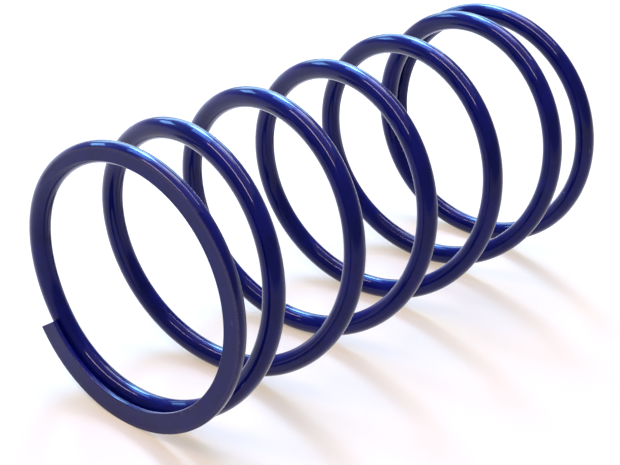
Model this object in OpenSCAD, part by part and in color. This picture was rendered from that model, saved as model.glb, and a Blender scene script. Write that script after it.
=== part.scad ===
// Coil spring for a car's suspension: one round wire, wound left-handed, with both ends closed and
// ground flat. It lies on its side, with its axis along +Y. The origin is the centre of the near seat,
// and the near ground face is the plane y = 0.
//
// The wire is one piece, so it is divided here into quarter-turn lengths that slide along the axis.
// Each length is cut on planes through the axis, so that its ends stay face to face with its
// neighbours' while the spring is compressed.

/* [Wire and coil] */
// Diameter of the wire, paint included
wire_d = 12; // [9:0.5:14]
// Mean diameter of the coil, from wire centre to wire centre
coil_mean_d = 150; // [130:1:170]
// Free length over the two ground faces
free_length = 342; // [300:1:380]

/* [Winding] */
// Turns at each end that are wound closed before the pitch opens
closed_turns = 0.94; // [0.9:0.01:0.96]
// Part of a turn over which the pitch opens from closed to free
ramp_turns = 0.36; // [0.3:0.01:0.4]
// Gap that the paint and springback leave between the closed turns
closed_gap = 0.3; // [0.25:0.05:0.4]
// Lead of an end coil before it steps over its own tip
end_lead = 7.7; // [7.2:0.1:8.4]
// Part of a turn over which it steps over the tip
step_turns = 0.22; // [0.2:0.01:0.25]
// Angle of both wire tips, seen from the near end, from +X towards +Z
tip_angle = 217.5; // [202.5:15:232.5]

/* [Ends] */
// Thickness left at each tip after grinding, as a share of the wire
tip_share = 0.45; // [0.4:0.01:0.5]

/* [Surface] */
// Sides of the wire's section
wire_sides = 20; // [16:4:24]
// Straight chords in each quarter turn
chords = 6; // [6:2:12]

/* [Hidden] */
coil_r = coil_mean_d / 2;
wire_r = wire_d / 2;
outer_r = coil_r + wire_r;
quarters = 4;
turns = 7;

// The tip centre's place behind the ground face, and the step that lets the wire clear the tip
tip_y = (tip_share - 0.5) * wire_d;
step_rise = wire_d + closed_gap - end_lead;
function smooth(u) = u < 0 ? 0 : u > 1 ? 1 : u * u * (3 - 2 * u);
function stepped(t) =
    smooth((t - 1 + step_turns) / step_turns) + smooth((t - turns + 1) / step_turns);

// Axial rise, in turns, of a pitch that starts to open at turn "start"; it opens on a smooth step,
// and "open" is the step's area
function open(u) = u < 0 ? 0 : u > 1 ? u - 0.5 : pow(u, 3) - pow(u, 4) / 2;
function opened(t, start) = ramp_turns * open((t - start) / ramp_turns);

// Free turns before turn t, with the pitch open between the two closed ends
function free_turns(t) = opened(t, closed_turns) - opened(t, turns - closed_turns - ramp_turns);

// The extra lead of a free turn makes up the free length
extra_lead =
    (free_length - 2 * tip_y - end_lead * turns - 2 * step_rise) / free_turns(turns);
function wire_y(t) =
    tip_y + end_lead * t + step_rise * stepped(t) + extra_lead * free_turns(t);
function lead(t) = (wire_y(t + 0.01) - wire_y(t - 0.01)) / 0.02;

// The chords are tangent to the true circle, so the flats have the true outside diameter
chord_angle = 360 / (quarters * chords);
spread = 1 / cos(chord_angle / 2);

// One ring of points round the wire at turn t, on the plane through the axis. The wire slants, so
// its section there is longer along the axis.
function slant(t) = sqrt(1 + pow(lead(t) / (PI * coil_mean_d), 2));
function ring(t) = [
    for (i = [0 : wire_sides - 1])
        let (
            around = i * 360 / wire_sides,
            radial = (coil_r + wire_r * cos(around)) * spread,
            turned = tip_angle + 360 * t
        )
        [radial * cos(turned), wire_y(t) + wire_r * sin(around) * slant(t), radial * sin(turned)]
];

// The quarters of a turn, in the order in which the wire runs through them
BOTTOM = 0;
RIGHT = 1;
TOP = 2;
LEFT = 3;

// A quarter-turn length of plain round wire: turn 1 is the near end coil
module wire_length(turn, quarter) {
    first = turn - 1 + quarter / quarters;
    rings = [for (i = [0 : chords]) ring(first + i / (quarters * chords))];
    n = wire_sides;
    wall = [
        for (i = [0 : chords - 1], j = [0 : n - 1])
            let (a = i * n + j, b = i * n + (j + 1) % n)
            each [[a, a + n, b], [b, a + n, b + n]]
    ];
    start = [for (j = [0 : n - 1]) j];
    end = [for (j = [n - 1 : -1 : 0]) chords * n + j];
    color("midnightblue")
        polyhedron([for (r = rings) each r], [each wall, start, end]);
}

// An end coil's length is ground back to its seat's plane
module ground_length(turn, quarter) {
    color("midnightblue")
        intersection() {
            wire_length(turn, quarter);
            translate([-2 * outer_r, 0, -2 * outer_r])
                cube([4 * outer_r, free_length, 4 * outer_r]);
        }
}

// Near end coil
ground_length(1, BOTTOM);  // near_end_bottom
ground_length(1, RIGHT);  // near_end_right
ground_length(1, TOP);  // near_end_top
ground_length(1, LEFT);  // near_end_left
// Active coils
wire_length(2, BOTTOM);  // coil_2_bottom
wire_length(2, RIGHT);  // coil_2_right
wire_length(2, TOP);  // coil_2_top
wire_length(2, LEFT);  // coil_2_left
wire_length(3, BOTTOM);  // coil_3_bottom
wire_length(3, RIGHT);  // coil_3_right
wire_length(3, TOP);  // coil_3_top
wire_length(3, LEFT);  // coil_3_left
wire_length(4, BOTTOM);  // coil_4_bottom
wire_length(4, RIGHT);  // coil_4_right
wire_length(4, TOP);  // coil_4_top
wire_length(4, LEFT);  // coil_4_left
wire_length(5, BOTTOM);  // coil_5_bottom
wire_length(5, RIGHT);  // coil_5_right
wire_length(5, TOP);  // coil_5_top
wire_length(5, LEFT);  // coil_5_left
wire_length(6, BOTTOM);  // coil_6_bottom
wire_length(6, RIGHT);  // coil_6_right
wire_length(6, TOP);  // coil_6_top
wire_length(6, LEFT);  // coil_6_left
// Far end coil
ground_length(7, BOTTOM);  // far_end_bottom
ground_length(7, RIGHT);  // far_end_right
ground_length(7, TOP);  // far_end_top
ground_length(7, LEFT);  // far_end_left
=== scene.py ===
from math import acos, atan2, copysign, cos, degrees, pi, radians, sin, sqrt, tan

import bmesh
import bpy
from mathutils import Matrix, Vector
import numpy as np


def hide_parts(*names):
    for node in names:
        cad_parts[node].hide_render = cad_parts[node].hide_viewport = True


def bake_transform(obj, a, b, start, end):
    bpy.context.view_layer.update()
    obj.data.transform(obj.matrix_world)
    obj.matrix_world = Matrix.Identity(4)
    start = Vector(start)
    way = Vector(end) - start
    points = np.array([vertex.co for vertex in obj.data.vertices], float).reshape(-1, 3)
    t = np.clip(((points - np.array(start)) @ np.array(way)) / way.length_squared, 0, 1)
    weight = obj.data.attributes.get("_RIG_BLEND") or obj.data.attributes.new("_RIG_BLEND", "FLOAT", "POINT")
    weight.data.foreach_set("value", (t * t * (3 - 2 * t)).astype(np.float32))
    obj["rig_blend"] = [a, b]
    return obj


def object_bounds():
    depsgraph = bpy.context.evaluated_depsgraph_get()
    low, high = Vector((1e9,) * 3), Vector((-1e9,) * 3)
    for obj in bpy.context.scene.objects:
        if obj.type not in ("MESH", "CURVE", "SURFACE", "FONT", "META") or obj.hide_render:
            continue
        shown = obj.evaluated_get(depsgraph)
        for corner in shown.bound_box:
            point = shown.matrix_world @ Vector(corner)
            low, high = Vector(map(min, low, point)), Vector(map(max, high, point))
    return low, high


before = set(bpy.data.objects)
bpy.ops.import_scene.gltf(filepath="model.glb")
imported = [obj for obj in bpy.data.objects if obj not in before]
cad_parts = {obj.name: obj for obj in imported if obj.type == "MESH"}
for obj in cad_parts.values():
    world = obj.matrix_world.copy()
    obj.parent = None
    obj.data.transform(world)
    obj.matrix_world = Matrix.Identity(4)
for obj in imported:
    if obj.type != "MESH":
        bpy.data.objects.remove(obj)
CAD_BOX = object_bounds()

# ---------------------------------------------------------------------------------------------
# The spring, in metres and turns. Its box is the frame's, and the winding is the part's own
# ---------------------------------------------------------------------------------------------
LOW, HIGH = CAD_BOX
NEAR_SEAT = LOW.y
FAR_SEAT = HIGH.y
FREE_LENGTH = FAR_SEAT - NEAR_SEAT
FLOOR = LOW.z
WIRE_D = 0.012
WIRE_R = WIRE_D / 2
COIL_R = (HIGH.x - LOW.x - WIRE_D) / 2

TURNS = 7
CLOSED_TURNS = 0.94
RAMP_TURNS = 0.36
END_LEAD = 0.0077
STEP_TURNS = 0.22
STEP_RISE = WIRE_D + 0.0003 - END_LEAD
TIP_ANGLE = 217.5
TIP_PLACE = (0.45 - 0.5) * WIRE_D

# The names of the coils and of the four lengths in each, in the order in which the wire runs
COILS = ["near_end", "coil_2", "coil_3", "coil_4", "coil_5", "coil_6", "far_end"]
QUARTERS = ["bottom", "right", "top", "left"]

# Fineness of the visible wire: sides of its section, and steps in a quarter turn. A length is wound
# a few steps past both of its ends, so that it is shaded there as its neighbours are
SIDES = 96
STEPS = 60
STEP = 1 / (STEPS * len(QUARTERS))
OVERRUN = 3

# Rounding that the paint leaves on the edges of a ground face and of a tip. On a section, the
# ground face has the points within FLAT_SHARE of the seat's side, and its rounded edges have the
# outer ones of those, from ROUND_SHARE on
EDGE_ROUND = 0.0005
TIP_ROUND = 0.0004
FLAT_SHARE = radians(22.5)
ROUND_SHARE = radians(7.5)

NUDGE = 1e-6

# The lights: name, azimuth and elevation, width and height, all in degrees from the spring, then
# brightness and colour
LIGHT_REACH = 2.5
LIGHTS = [
    ("window_edge", -48, 43, 13, 20, 38, (0.30, 0.62, 1.0)),
    ("window_glow", -52, 46, 30, 34, 4.5, (0.12, 0.30, 1.0)),
    ("window_middle", -84, 57, 22, 18, 12, (0.16, 0.39, 1.0)),
    ("window_top", -50, 68, 10, 10, 14, (0.24, 0.36, 1.0)),
    ("window_foot", -95, 25, 18, 10, 13, (0.25, 0.55, 1.0)),
    ("window_low", -46, 20, 50, 16, 5, (0.40, 0.78, 1.0)),
    ("ceiling", -20, 60, 14, 34, 4.5, (0.86, 0.80, 1.0)),
    ("ceiling_tube", -10, 57, 40, 4.5, 17, (1.0, 0.84, 0.88)),
    ("front_glow", -168, 62, 54, 22, 1.0, (1.0, 0.46, 0.38)),
    ("front_tube", -169, 60, 48, 4.5, 24, (1.0, 0.84, 0.84)),
    ("lamp_glow", 0, 84, 50, 50, 0.6, (1.0, 0.86, 0.76)),
]

# The paint's colours
PAINT_DARK = (0.0010, 0.0022, 0.065)
PAINT_LIGHT = (0.0022, 0.0034, 0.108)
FLAKE = (0.003, 0.007, 0.14)
WORN_EDGE = (0.030, 0.026, 0.10)
SCRATCH = (0.16, 0.16, 0.30)
DUST = (0.34, 0.27, 0.36)

# The floor's own glow, beside the spring and far from it, and the room's glow
FLOOR_GLOW = 0.5
FAR_GLOW = 0.95
HORIZON_GLOW = 0.9
ROOM_GLOW = 0.3
FLOOR_DARK = (0.31, 0.285, 0.24)
FLOOR_LIGHT = (0.35, 0.32, 0.27)


# ---------------------------------------------------------------------------------------------
# The winding: turn t runs from 0 at the near tip to TURNS at the far one
# ---------------------------------------------------------------------------------------------
def opening(u):
    """Area under a smooth step from 0 to 1 that starts at 0 and ends at 1."""
    if u <= 0:
        return 0.0
    if u >= 1:
        return u - 0.5
    return u**3 - u**4 / 2


def opened(t, start):
    """Free turns that a pitch has made at turn t, if it starts to open at turn start."""
    return RAMP_TURNS * opening((t - start) / RAMP_TURNS)


def free_turns(t):
    """Free turns of the wire before turn t."""
    return opened(t, CLOSED_TURNS) - opened(t, TURNS - CLOSED_TURNS - RAMP_TURNS)


def smooth(u):
    """A smooth step from 0 to 1, as u goes from 0 to 1."""
    u = min(max(u, 0), 1)
    return u * u * (3 - 2 * u)


def stepped(t):
    """How many of its two tips the wire has stepped over by turn t."""
    return smooth((t - 1 + STEP_TURNS) / STEP_TURNS) + smooth((t - TURNS + 1) / STEP_TURNS)


ALL_FREE_TURNS = free_turns(TURNS)
EXTRA_LEAD = (
    (FREE_LENGTH - 2 * TIP_PLACE - END_LEAD * TURNS - 2 * STEP_RISE) / ALL_FREE_TURNS
)


def wire_y(t):
    """Place of the wire's centre along the axis at turn t."""
    closed = END_LEAD * t + STEP_RISE * stepped(t)
    return NEAR_SEAT + TIP_PLACE + closed + EXTRA_LEAD * free_turns(t)


def slant(t):
    """How much longer the wire's section is along the axis than across it, as the wire slants."""
    lead = (wire_y(t + STEP) - wire_y(t - STEP)) / (2 * STEP)
    return sqrt(1 + (lead / (2 * pi * COIL_R)) ** 2)


def wire_angle(t):
    """Angle of turn t round the axis, in degrees, from +X towards +Z."""
    return TIP_ANGLE + 360 * t


def turn_near(place, t):
    """The turn at which a point of the wire lies, within half a turn of turn t."""
    angle = degrees(atan2(place.z, place.x))
    return t + ((angle - wire_angle(t) + 180) % 360 - 180) / 360


# ---------------------------------------------------------------------------------------------
# The mesh of one length of wire
# ---------------------------------------------------------------------------------------------
def only(kind, geometry):
    """The vertices, edges or faces of an operator's result."""
    return [part for part in geometry if isinstance(part, kind)]


def across(t):
    """Matrix that puts a flat section, drawn round the origin, across the wire at turn t."""
    turned = Matrix.Rotation(-radians(wire_angle(t)), 4, "Y")
    placed = Matrix.Translation((COIL_R, wire_y(t), 0))
    return turned @ placed @ Matrix.Diagonal((1, slant(t), 1, 1))


def wind(bm, first, last):
    """Winds a solid round wire between two steps, which are counted from the near tip."""
    bmesh.ops.create_circle(
        bm, cap_ends=True, segments=SIDES, radius=WIRE_R, matrix=across(first * STEP)
    )
    end = bm.verts[:] + bm.edges[:] + bm.faces[:]
    for step in range(first, last):
        here = step * STEP
        there = here + STEP
        rise = wire_y(there) - wire_y(here)
        end = bmesh.ops.spin(
            bm, geom=end, cent=(0, 0, 0), axis=(0, 1, 0), dvec=(0, rise, 0),
            angle=-radians(360 * STEP), steps=1, use_duplicate=False
        )["geom_last"]
        bmesh.ops.scale(
            bm, vec=(1, slant(there) / slant(here), 1),
            space=Matrix.Translation((0, -wire_y(there), 0)),
            verts=only(bmesh.types.BMVert, end)
        )
    bmesh.ops.recalc_face_normals(bm, faces=bm.faces)


def ground_bite(height):
    """Angle from the seat's side to the edge of the ground face, on a wire's section whose centre
    is at a height above that face."""
    return acos((height - EDGE_ROUND) / (WIRE_R - EDGE_ROUND))


def ground_section(around, height):
    """A point of the section of ground wire: how far out from the wire's centre, and how far from
    it away from the seat. It is for the point that stood at an angle round the plain section, from
    the seat's side, on a wire whose centre is at a height above the ground face."""
    bite = ground_bite(height)
    share = abs(around)
    if bite < FLAT_SHARE:
        return WIRE_R * sin(around), max(-WIRE_R * cos(around), -height)
    corner = (WIRE_R - EDGE_ROUND) * sin(bite)
    if share > FLAT_SHARE:
        turned = bite + (pi - bite) * (share - FLAT_SHARE) / (pi - FLAT_SHARE)
        out, away = WIRE_R * sin(turned), -WIRE_R * cos(turned)
    elif share > ROUND_SHARE:
        turned = bite * (share - ROUND_SHARE) / (FLAT_SHARE - ROUND_SHARE)
        out = corner + EDGE_ROUND * sin(turned)
        away = EDGE_ROUND - height - EDGE_ROUND * cos(turned)
    else:
        out, away = corner * share / ROUND_SHARE, -height
    return copysign(out, around), away


def grind(bm, middle, seat, inward):
    """Grinds the wire back to a seat's plane, with rounded edges along the ground face, and notes
    those edges for the paint."""
    edge = bm.verts.layers.float["ground_edge"]
    for v in bm.verts:
        t = turn_near(v.co, middle)
        height = (wire_y(t) - seat) * inward / slant(t)
        if height >= WIRE_R:
            continue
        place = across(t).inverted() @ v.co
        around = atan2(place.x, -place.y * inward)
        out, away = ground_section(around, height)
        v.co = across(t) @ Vector((out, away * inward, 0))
        on_edge = ROUND_SHARE < abs(around) < FLAT_SHARE + radians(360 / SIDES)
        v[edge] = 1 if on_edge and ground_bite(height) > FLAT_SHARE else 0


def round_tip(bm, t):
    """Rounds the edges of the flat end of the wire at turn t."""
    tip = max(
        (face for face in bm.faces if len(face.verts) > 4),
        key=lambda face: -abs(turn_near(face.calc_center_median(), t) - t)
    )
    bmesh.ops.bevel(
        bm, geom=tip.edges[:], affect="EDGES", offset_type="OFFSET", offset=TIP_ROUND,
        segments=3, profile=0.5, material=-1, clamp_overlap=True
    )


def cut_across(bm, t, onward):
    """Cuts off what lies past turn t, on the plane through the axis, and closes the cut."""
    angle = radians(wire_angle(t))
    cut = bmesh.ops.bisect_plane(
        bm, geom=bm.verts[:] + bm.edges[:] + bm.faces[:], dist=NUDGE, plane_co=(0, 0, 0),
        plane_no=(-sin(angle) * onward, 0, cos(angle) * onward), clear_outer=True
    )
    edges = [edge for edge in only(bmesh.types.BMEdge, cut["geom_cut"]) if edge.is_boundary]
    for face in bmesh.ops.holes_fill(bm, edges=edges, sides=0)["faces"]:
        face.smooth = False


def smooth_normal(v):
    """Normal of the surface at a vertex, by its faces' sizes, so that a ground face stays flat."""
    total = Vector()
    for face in v.link_faces:
        total += face.normal * face.calc_area()
    return total.normalized()


def build_length(number):
    """The mesh of one quarter-turn length, from the number of its place along the wire."""
    start = number * STEPS
    end = start + STEPS
    at_near_tip = number == 0
    at_far_tip = number == TURNS * len(QUARTERS) - 1
    middle = (start + end) * STEP / 2
    bm = bmesh.new()
    wind(bm, start - (0 if at_near_tip else OVERRUN), end + (0 if at_far_tip else OVERRUN))
    bm.verts.layers.float.new("ground_edge")
    grind(bm, middle, NEAR_SEAT, 1)
    grind(bm, middle, FAR_SEAT, -1)
    if at_near_tip:
        round_tip(bm, 0)
    if at_far_tip:
        round_tip(bm, TURNS)
    for face in bm.faces:
        face.smooth = True
    bm.normal_update()
    shading = bm.verts.layers.float_vector.new("shading")
    for v in bm.verts:
        v[shading] = smooth_normal(v)
    if not at_near_tip:
        cut_across(bm, start * STEP, -1)
    if not at_far_tip:
        cut_across(bm, end * STEP, 1)
    bmesh.ops.recalc_face_normals(bm, faces=bm.faces)
    return bm, middle


def note_places(bm, middle):
    """Notes where each vertex lies on the straightened wire, for the paint, and how far along the
    free turns it is, for the spring's travel."""
    wire_place = bm.verts.layers.float_vector.new("wire_place")
    travel = bm.verts.layers.float.new("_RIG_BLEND")
    for v in bm.verts:
        t = turn_near(v.co, middle)
        section = across(t).inverted() @ v.co
        v[wire_place] = (2 * pi * COIL_R * t, section.x, section.y)
        v[travel] = free_turns(t) / ALL_FREE_TURNS


def shade_smoothly(mesh):
    """Gives every smooth corner the normal that was noted for its vertex."""
    noted = mesh.attributes["shading"].data
    normals = []
    for face in mesh.polygons:
        for v in face.vertices:
            normals.append(noted[v].vector if face.use_smooth else face.normal)
    mesh.normals_split_custom_set([tuple(n) for n in normals])
    mesh.attributes.remove(mesh.attributes["shading"])


def make_length(number, paint):
    """One visible length of wire, which stands for its CAD node and is squeezed with the coil."""
    coil, quarter = divmod(number, len(QUARTERS))
    node = COILS[coil] + "_" + QUARTERS[quarter]
    bm, middle = build_length(number)
    note_places(bm, middle)
    mesh = bpy.data.meshes.new(node + "_wire")
    bm.to_mesh(mesh)
    bm.free()
    shade_smoothly(mesh)
    mesh.materials.append(paint)
    piece = bpy.data.objects.new(node + "_wire", mesh)
    bpy.context.scene.collection.objects.link(piece)
    travel = [value.value for value in mesh.attributes["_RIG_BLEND"].data]
    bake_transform(piece, "near_end_coil", "far_end_coil", (0, NEAR_SEAT, 0), (0, FAR_SEAT, 0))
    mesh.attributes["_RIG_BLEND"].data.foreach_set("value", travel)
    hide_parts(node)
    return piece


# ---------------------------------------------------------------------------------------------
# Materials
# ---------------------------------------------------------------------------------------------
def add_node(owner, kind, place=None, **settings):
    """A node of a material or of the world, with its settings. It reads a place if given one."""
    node = owner.node_tree.nodes.new(kind)
    for name, value in settings.items():
        if name in node.inputs:
            node.inputs[name].default_value = value
        else:
            setattr(node, name, value)
    if place:
        owner.node_tree.links.new(node.inputs[0], place)
    return node


def between(owner, share, low, high, start=0.0, end=1.0):
    """A number that goes from start to end while a share goes from low to high."""
    node = add_node(owner, "ShaderNodeMapRange")
    owner.node_tree.links.new(node.inputs["Value"], share)
    limits = {"From Min": low, "From Max": high, "To Min": start, "To Max": end}
    for name, value in limits.items():
        node.inputs[name].default_value = value
    return node.outputs["Result"]


def times(material, first, second):
    """The product of two shares."""
    node = add_node(material, "ShaderNodeMath", operation="MULTIPLY")
    material.node_tree.links.new(node.inputs[0], first)
    material.node_tree.links.new(node.inputs[1], second)
    return node.outputs["Value"]


def tinted(material, share, below, above):
    """A colour that goes from one to another with a share. Either may be another node's."""
    node = add_node(material, "ShaderNodeMix", data_type="RGBA")
    material.node_tree.links.new(node.inputs["Factor"], share)
    for socket, colour in ((node.inputs[6], below), (node.inputs[7], above)):
        if isinstance(colour, tuple):
            socket.default_value = colour + (1,)
        else:
            material.node_tree.links.new(socket, colour)
    return node.outputs[2]


def stretched(material, place, along, around):
    """A pattern's place, made finer along the wire and round it by two amounts."""
    node = add_node(material, "ShaderNodeMapping", place)
    node.inputs["Scale"].default_value = (along, around, around)
    return node.outputs["Vector"]


def dots(material, place, chosen, size):
    """Scattered dots: a share of the cells of a pattern have one, of about that size."""
    cells = add_node(material, "ShaderNodeTexVoronoi", place, Scale=1.0)
    inside = between(material, cells.outputs["Distance"], size, size * 0.6)
    parts = add_node(material, "ShaderNodeSeparateColor")
    material.node_tree.links.new(parts.inputs["Color"], cells.outputs["Color"])
    picked = between(material, parts.outputs["Red"], 1 - chosen, 1 - chosen + 0.01)
    return times(material, inside, picked)


def blue_gloss_paint():
    """Deep blue gloss over a blue flake coat, a little uneven, with dust, scratches, and wear along
    the edges of the ground faces."""
    material = bpy.data.materials.new("blue_gloss_paint")
    material.use_nodes = True
    links = material.node_tree.links
    shader = material.node_tree.nodes["Principled BSDF"]
    place = add_node(material, "ShaderNodeAttribute", attribute_name="wire_place").outputs["Vector"]
    edge = add_node(material, "ShaderNodeAttribute", attribute_name="ground_edge").outputs["Fac"]

    cloud = add_node(material, "ShaderNodeTexNoise", place, Scale=70.0, Detail=5.0, Roughness=0.6)
    grain = add_node(material, "ShaderNodeTexNoise", place, Scale=1400.0, Detail=2.0)
    peel = add_node(material, "ShaderNodeTexNoise", place, Scale=420.0, Detail=2.0)
    worn = times(material, edge, between(material, grain.outputs["Fac"], 0.42, 0.58, 0.35, 1.0))
    dust = dots(material, stretched(material, place, 90, 90), 0.16, 0.055)
    scratch = dots(material, stretched(material, place, 45, 700), 0.02, 0.12)

    colour = tinted(
        material, between(material, cloud.outputs["Fac"], 0.35, 0.65), PAINT_DARK, PAINT_LIGHT
    )
    colour = tinted(material, between(material, grain.outputs["Fac"], 0.55, 0.75), colour, FLAKE)
    colour = tinted(material, worn, colour, WORN_EDGE)
    colour = tinted(material, scratch, colour, SCRATCH)
    colour = tinted(material, dust, colour, DUST)
    links.new(shader.inputs["Base Color"], colour)
    links.new(
        shader.inputs["Roughness"], between(material, cloud.outputs["Fac"], 0.3, 0.7, 0.26, 0.42)
    )
    shader.inputs["Specular IOR Level"].default_value = 0.12
    shader.inputs["Specular Tint"].default_value = (0.02, 0.12, 1.0, 1)
    shader.inputs["Coat Weight"].default_value = 1
    shader.inputs["Coat IOR"].default_value = 1.31
    shader.inputs["Coat Roughness"].default_value = 0.04

    bump = add_node(material, "ShaderNodeBump", Strength=0.12, Distance=0.0001)
    links.new(bump.inputs["Height"], peel.outputs["Fac"])
    grit = add_node(material, "ShaderNodeBump", Strength=0.5, Distance=0.0001)
    links.new(grit.inputs["Height"], dust)
    links.new(grit.inputs["Normal"], bump.outputs["Normal"])
    links.new(shader.inputs["Normal"], grit.outputs["Normal"])
    links.new(shader.inputs["Coat Normal"], grit.outputs["Normal"])
    return material


def pale_floor():
    """A warm white floor that glows a little, and more so far from the spring's lights."""
    material = bpy.data.materials.new("pale_floor")
    material.use_nodes = True
    links = material.node_tree.links
    shader = material.node_tree.nodes["Principled BSDF"]
    place = add_node(material, "ShaderNodeTexCoord").outputs["Object"]
    grain = add_node(material, "ShaderNodeTexNoise", place, Scale=900.0, Detail=3.0)
    far = add_node(material, "ShaderNodeVectorMath", place, operation="LENGTH")
    colour = tinted(material, grain.outputs["Fac"], FLOOR_DARK, FLOOR_LIGHT)
    links.new(shader.inputs["Base Color"], colour)
    links.new(
        shader.inputs["Emission Strength"],
        between(material, far.outputs["Value"], 0.8, 4, FLOOR_GLOW, FAR_GLOW)
    )
    shader.inputs["Emission Color"].default_value = (1.0, 0.84, 0.68, 1)
    shader.inputs["Roughness"].default_value = 0.6
    return material


# ---------------------------------------------------------------------------------------------
# Floor, light and camera
# ---------------------------------------------------------------------------------------------
def lay_floor():
    """The floor that the spring lies on, wider than any view of it."""
    bm = bmesh.new()
    bmesh.ops.create_grid(
        bm, x_segments=1, y_segments=1, size=8, matrix=Matrix.Translation((0, 0, FLOOR))
    )
    mesh = bpy.data.meshes.new("floor")
    bm.to_mesh(mesh)
    bm.free()
    mesh.materials.append(pale_floor())
    floor = bpy.data.objects.new("floor", mesh)
    bpy.context.scene.collection.objects.link(floor)


def towards(azimuth, elevation):
    """Unit direction, in degrees: azimuth from +Y towards +X, elevation from the floor up."""
    level = cos(radians(elevation))
    return Vector(
        (sin(radians(azimuth)) * level, cos(radians(azimuth)) * level, sin(radians(elevation)))
    )


def hang_light(name, azimuth, elevation, wide, high, brightness, colour):
    """A soft panel of light that faces the spring, with its place and size as seen from there, in
    degrees, and the brightness of its surface."""
    light = bpy.data.lights.new(name, "AREA")
    light.shape = "RECTANGLE"
    light.size = 2 * LIGHT_REACH * tan(radians(wide / 2))
    light.size_y = 2 * LIGHT_REACH * tan(radians(high / 2))
    light.energy = brightness * pi * light.size * light.size_y
    light.color = colour
    lamp = bpy.data.objects.new(name, light)
    middle = (LOW + HIGH) / 2
    lamp.location = middle + towards(azimuth, elevation) * LIGHT_REACH
    lamp.rotation_mode = "QUATERNION"
    lamp.rotation_quaternion = towards(azimuth, elevation).to_track_quat("Z", "Y")
    bpy.context.scene.collection.objects.link(lamp)


def light_room():
    """A dim warm room that is pale near the horizon, with the lights hung in it."""
    world = bpy.data.worlds.new("room")
    world.use_nodes = True
    background = world.node_tree.nodes["Background"]
    background.inputs["Color"].default_value = (1, 0.92, 0.85, 1)
    direction = add_node(world, "ShaderNodeTexCoord").outputs["Generated"]
    height = add_node(world, "ShaderNodeSeparateXYZ", direction).outputs["Z"]
    strength = between(world, height, 0.02, 0.14, HORIZON_GLOW, ROOM_GLOW)
    world.node_tree.links.new(background.inputs["Strength"], strength)
    bpy.context.scene.world = world
    for panel in LIGHTS:
        hang_light(*panel)


def stand_camera():
    """The camera, a little to the right of the near end and above it."""
    camera = bpy.data.cameras.new("camera")
    camera.sensor_width = 36
    camera.lens = 95.4
    camera.clip_end = 50
    stand = bpy.data.objects.new("camera", camera)
    azimuth, elevation, roll = radians(37.46), radians(27.04), radians(4.96)
    turn = (
        Matrix.Rotation(azimuth, 4, "Z")
        @ Matrix.Rotation(pi / 2 - elevation, 4, "X")
        @ Matrix.Rotation(roll, 4, "Z")
    )
    stand.matrix_world = Matrix.Translation((0.5300, -0.5373, 0.4262)) @ turn
    bpy.context.scene.collection.objects.link(stand)
    bpy.context.scene.camera = stand


stand_camera()
paint = blue_gloss_paint()
for number in range(TURNS * len(QUARTERS)):
    make_length(number, paint)
lay_floor()
light_room()
bpy.context.scene.view_settings.view_transform = "Standard"
